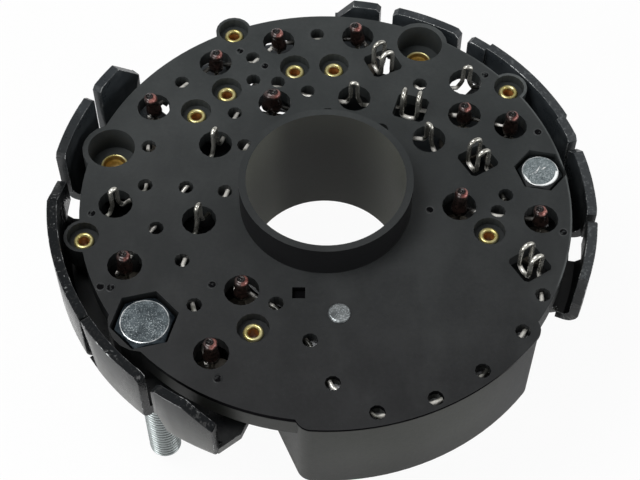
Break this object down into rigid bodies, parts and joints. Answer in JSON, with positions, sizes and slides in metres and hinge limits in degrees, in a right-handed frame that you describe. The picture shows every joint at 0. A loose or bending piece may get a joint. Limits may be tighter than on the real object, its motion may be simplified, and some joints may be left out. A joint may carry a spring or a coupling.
{
  "type": "alternator rectifier and voltage regulator assembly",
  "caption": "Round moulded terminal board with crimped diode leads and formed wires, carried on two finned heat sinks, with a potted regulator housing and an output stud.",
  "frame": {"origin": "axis of the centre tube, level with the top face of the moulded board", "axes": "+Z along the bore, out of the side that shows the crimped tips; -Y towards the middle of the plain half of the board; the output stud points to -Z"},
  "size_m": [0.1524, 0.1469, 0.0844],
  "materials": {
    "moulding": "matte moulded phenolic",
    "heat_sink": "black gloss, worn at the punched edges",
    "tinned_wire": "dull tinned",
    "copper": "dull copper sleeve",
    "brass": "bright brass",
    "plated_steel": "zinc plate with a speckled bloom",
    "diode_case": "plated",
    "aluminium_sheet": "plain sheet",
    "resin": "cast resin"
  },
  "bodies": {
    "root": {"terminal_board": "moulding", "positive_heat_sink": "heat_sink", "negative_heat_sink": "heat_sink", "upper_conductor": "tinned_wire", "middle_conductor": "tinned_wire", "inner_conductor": "tinned_wire", "lower_conductor": "tinned_wire", "positive_diode_1": "diode_case", "negative_diode_1": "diode_case", "positive_diode_2": "diode_case", "negative_diode_2": "diode_case", "positive_diode_3": "diode_case", "negative_diode_3": "diode_case", "positive_diode_4": "diode_case", "negative_diode_4": "diode_case", "positive_diode_5": "diode_case", "negative_diode_5": "diode_case", "positive_diode_6": "diode_case", "negative_diode_6": "diode_case", "lead_ferrules": "copper", "small_eyelets": "brass", "mounting_eyelets": "brass", "output_stud": "plated_steel", "output_washer": "plated_steel", "output_nut": "plated_steel", "ground_bolt": "plated_steel", "ground_washer": "plated_steel", "ground_nut": "plated_steel", "regulator_rivet": "plated_steel", "regulator_plate": "aluminium_sheet", "regulator_capsule": "resin", "potting": "resin"}
  },
  "joints": []
}
